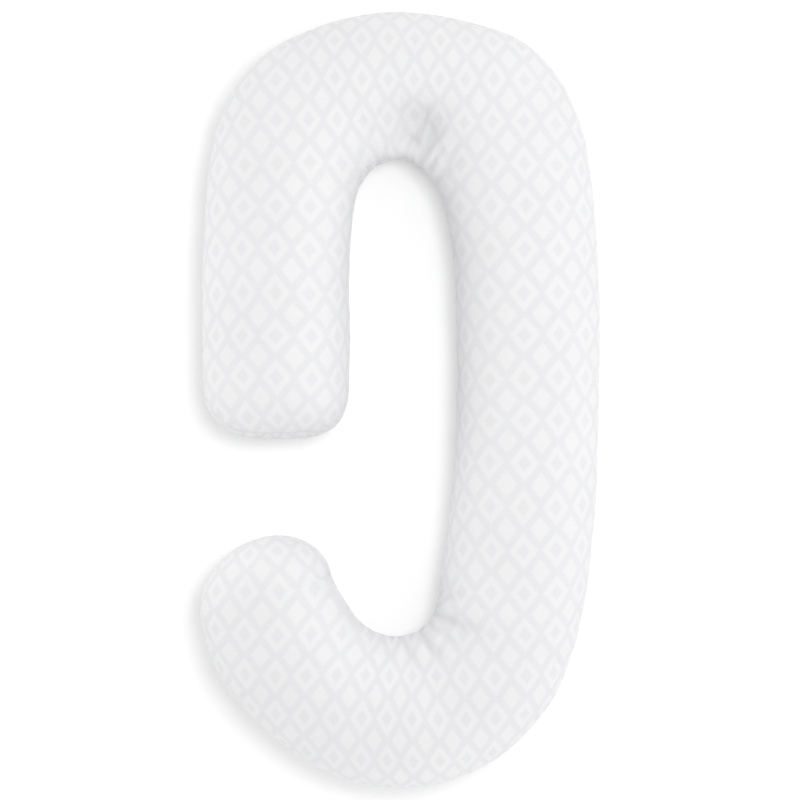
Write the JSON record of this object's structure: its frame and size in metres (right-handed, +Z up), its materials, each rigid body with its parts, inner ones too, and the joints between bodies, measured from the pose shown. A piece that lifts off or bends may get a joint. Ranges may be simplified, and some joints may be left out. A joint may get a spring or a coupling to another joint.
{
  "type": "wrap-around body pillow",
  "caption": "Long body pillow, a filled tube of white figured cloth that bends into an open loop with a short straight arm and a hooked foot.",
  "frame": {"origin": "middle of the bounding box in X and Y, on the surface the pillow lies on", "axes": "+Y along the pillow towards the closed top of the loop, +Z up through the crown, +X from the short arm towards the long back"},
  "size_m": [0.748, 1.45, 0.191],
  "materials": {
    "cover": "white woven cloth with a tone-on-tone figure, matt ground and faintly shiny figure"
  },
  "bodies": {
    "root": {"pillow": "cover"}
  },
  "joints": []
}
